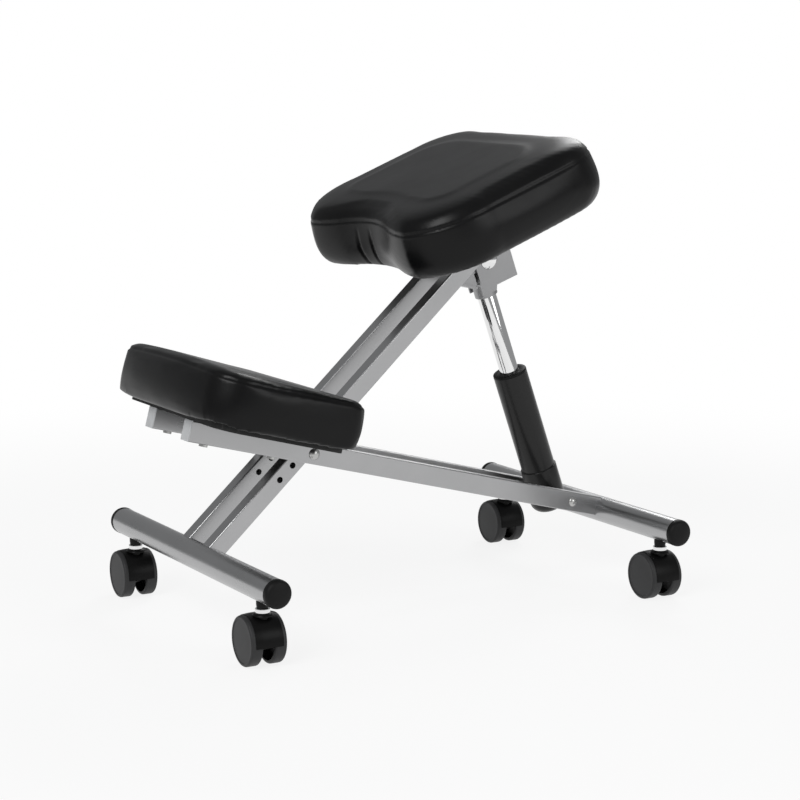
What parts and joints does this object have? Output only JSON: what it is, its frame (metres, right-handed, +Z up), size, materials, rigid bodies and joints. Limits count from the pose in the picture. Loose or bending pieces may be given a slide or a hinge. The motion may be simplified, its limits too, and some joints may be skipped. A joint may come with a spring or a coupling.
{
  "type": "kneeling chair",
  "caption": "Kneeling chair with a padded seat on crossed metal struts, a padded knee rest, a gas lift and twin-wheel casters.",
  "frame": {"origin": "on the floor, on the middle plane across the chair, half way between the front and the rear foot tubes", "axes": "+X towards the sitter's left, +Y from the knee pad to the rear foot, +Z up"},
  "size_m": [0.506, 0.7475, 0.6644],
  "materials": {
    "frame_metal": "satin silver powder coat",
    "bracket_metal": "satin silver-grey coat",
    "grey_plastic": "light grey moulded",
    "black_plastic": "matte black moulded",
    "board_wood": "plywood, stained black",
    "lift_sleeve": "black coat with a soft gloss",
    "cushion_cover": "black coated upholstery with a soft sheen",
    "fastener_steel": "zinc-plated",
    "chrome": "polished",
    "rubber": "matte",
    "caster_hood": "black moulded",
    "caster_wheel": "dark grey moulded"
  },
  "bodies": {
    "base": {"knee_beam_left": "frame_metal", "knee_beam_right": "frame_metal", "beam_end_plugs": "grey_plastic", "rear_foot_tube": "frame_metal", "rear_tube_caps": "black_plastic", "rear_stem_sockets": "black_plastic", "knee_board": "board_wood", "knee_cushion": "cushion_cover", "knee_pad_bolts": "fastener_steel", "main_pivot_bolt": "fastener_steel", "main_pivot_nut": "fastener_steel", "main_pivot_washers": "fastener_steel", "gas_lift_bolt": "fastener_steel", "gas_lift_nut": "fastener_steel", "gas_lift_spacers": "fastener_steel"},
    "strut_frame": {"front_foot_tube": "frame_metal", "front_tube_caps": "black_plastic", "front_stem_sockets": "black_plastic", "seat_strut_left": "frame_metal", "seat_strut_right": "frame_metal", "pivot_spacer": "fastener_steel", "strut_yoke": "bracket_metal"},
    "gas_base": {"gas_lift_cup": "lift_sleeve", "gas_outer_tube": "lift_sleeve", "guide_bush": "black_plastic", "piston_rod": "fastener_steel", "thrust_bearing": "fastener_steel", "rubber_bumper": "rubber", "retaining_clip": "fastener_steel"},
    "seat": {"gas_cylinder": "chrome", "gas_socket": "bracket_metal", "seat_bracket": "bracket_metal", "seat_mount_plate": "bracket_metal", "upper_pivot_bolt": "chrome", "upper_pivot_nut": "fastener_steel", "seat_board": "board_wood", "seat_cushion": "cushion_cover", "seat_bolts": "fastener_steel", "lever_pin": "fastener_steel"},
    "release_pin": {"release_pin": "chrome"},
    "release_lever": {"release_lever": "fastener_steel", "lever_grip": "black_plastic"},
    "caster_front_left": {"caster_hood_front_left": "caster_hood", "caster_pins_front_left": "chrome"},
    "wheel_front_left_fore": {"caster_wheel_front_left_fore": "caster_wheel"},
    "wheel_front_left_aft": {"caster_wheel_front_left_aft": "caster_wheel"},
    "caster_front_right": {"caster_hood_front_right": "caster_hood", "caster_pins_front_right": "chrome"},
    "wheel_front_right_fore": {"caster_wheel_front_right_fore": "caster_wheel"},
    "wheel_front_right_aft": {"caster_wheel_front_right_aft": "caster_wheel"},
    "caster_rear_left": {"caster_hood_rear_left": "caster_hood", "caster_pins_rear_left": "chrome"},
    "wheel_rear_left_fore": {"caster_wheel_rear_left_fore": "caster_wheel"},
    "wheel_rear_left_aft": {"caster_wheel_rear_left_aft": "caster_wheel"},
    "caster_rear_right": {"caster_hood_rear_right": "caster_hood", "caster_pins_rear_right": "chrome"},
    "wheel_rear_right_fore": {"caster_wheel_rear_right_fore": "caster_wheel"},
    "wheel_rear_right_aft": {"caster_wheel_rear_right_aft": "caster_wheel"}
  },
  "joints": [
    {"name": "frame_pivot", "type": "hinge", "parent": "base", "child": "strut_frame", "pos_m": [0, -0.1744, 0.2438], "axis": [1, 0, 0], "range_deg": [-14.5, 0]},
    {"name": "gas_lift_tilt", "type": "hinge", "parent": "base", "child": "gas_base", "pos_m": [0, 0.2651, 0.12604], "axis": [1, 0, 0], "range_deg": [-4.6, 0.3]},
    {"name": "gas_lift_stroke", "type": "slide", "parent": "gas_base", "child": "seat", "axis": [0, -0.3387, 0.9409], "range_m": [-0.1, 0.001]},
    {"name": "release_lever_hinge", "type": "hinge", "parent": "seat", "child": "release_lever", "pos_m": [-0.0235, 0.13993, 0.47369], "axis": [0, 0.9409, 0.3387], "range_deg": [0, 5], "stiffness_Nm_per_rad": 4, "springref_deg": -5.73},
    {"name": "release_pin_slide", "type": "slide", "parent": "seat", "child": "release_pin", "axis": [0, -0.3387, 0.9409], "range_m": [-0.0021, 0]},
    {"name": "swivel_front_left", "type": "hinge", "parent": "strut_frame", "child": "caster_front_left", "pos_m": [0.202, -0.326, 0.079], "axis": [0, 0, 1], "continuous": true},
    {"name": "roll_front_left_fore", "type": "hinge", "parent": "caster_front_left", "child": "wheel_front_left_fore", "pos_m": [0.19042, -0.32539, 0.034], "axis": [0.0523, 0.9986, 0], "continuous": true},
    {"name": "roll_front_left_aft", "type": "hinge", "parent": "caster_front_left", "child": "wheel_front_left_aft", "pos_m": [0.19042, -0.32539, 0.034], "axis": [0.0523, 0.9986, 0], "continuous": true},
    {"name": "swivel_front_right", "type": "hinge", "parent": "strut_frame", "child": "caster_front_right", "pos_m": [-0.202, -0.326, 0.079], "axis": [0, 0, 1], "continuous": true},
    {"name": "roll_front_right_fore", "type": "hinge", "parent": "caster_front_right", "child": "wheel_front_right_fore", "pos_m": [-0.21358, -0.32539, 0.034], "axis": [0.0523, 0.9986, 0], "continuous": true},
    {"name": "roll_front_right_aft", "type": "hinge", "parent": "caster_front_right", "child": "wheel_front_right_aft", "pos_m": [-0.21358, -0.32539, 0.034], "axis": [0.0523, 0.9986, 0], "continuous": true},
    {"name": "swivel_rear_left", "type": "hinge", "parent": "base", "child": "caster_rear_left", "pos_m": [0.202, 0.326, 0.079], "axis": [0, 0, 1], "continuous": true},
    {"name": "roll_rear_left_fore", "type": "hinge", "parent": "caster_rear_left", "child": "wheel_rear_left_fore", "pos_m": [0.19042, 0.32661, 0.034], "axis": [0.0523, 0.9986, 0], "continuous": true},
    {"name": "roll_rear_left_aft", "type": "hinge", "parent": "caster_rear_left", "child": "wheel_rear_left_aft", "pos_m": [0.19042, 0.32661, 0.034], "axis": [0.0523, 0.9986, 0], "continuous": true},
    {"name": "swivel_rear_right", "type": "hinge", "parent": "base", "child": "caster_rear_right", "pos_m": [-0.202, 0.326, 0.079], "axis": [0, 0, 1], "continuous": true},
    {"name": "roll_rear_right_fore", "type": "hinge", "parent": "caster_rear_right", "child": "wheel_rear_right_fore", "pos_m": [-0.21358, 0.32661, 0.034], "axis": [0.0523, 0.9986, 0], "continuous": true},
    {"name": "roll_rear_right_aft", "type": "hinge", "parent": "caster_rear_right", "child": "wheel_rear_right_aft", "pos_m": [-0.21358, 0.32661, 0.034], "axis": [0.0523, 0.9986, 0], "continuous": true}
  ],
  "couplings": [
    {"joint": "gas_lift_tilt", "follows": "frame_pivot", "ratio": 0.2787},
    {"joint": "gas_lift_stroke", "follows": "frame_pivot", "m_per_rad": 0.38837},
    {"joint": "release_pin_slide", "follows": "release_lever_hinge", "m_per_rad": -0.0235}
  ]
}
